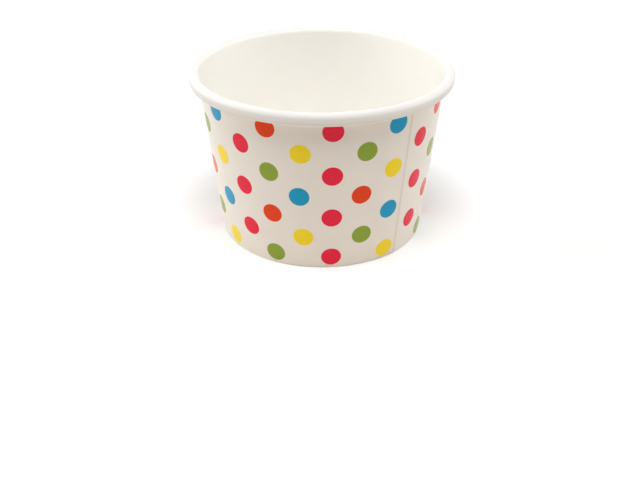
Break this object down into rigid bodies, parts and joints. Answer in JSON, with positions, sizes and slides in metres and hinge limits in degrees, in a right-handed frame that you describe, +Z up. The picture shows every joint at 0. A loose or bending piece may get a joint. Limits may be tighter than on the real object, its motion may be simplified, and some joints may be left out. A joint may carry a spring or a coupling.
{
  "type": "paper dessert cup",
  "caption": "Tapered paper dessert cup with a rolled rim, lap-sealed printed sidewall and a recessed bottom, for ice cream and other portions.",
  "frame": {"origin": "Centre of the circle on which the folded foot stands.", "axes": "+Z up along the cup's axis, -Y the front as pictured, +X to the right of it."},
  "size_m": [0.096, 0.096, 0.0623],
  "materials": {
    "printed_paper": "white coated cup stock with printed dots, satin",
    "bottom_paper": "unprinted coated cup stock, satin"
  },
  "bodies": {
    "root": {"sidewall": "printed_paper", "bottom_disc": "bottom_paper"}
  },
  "joints": []
}
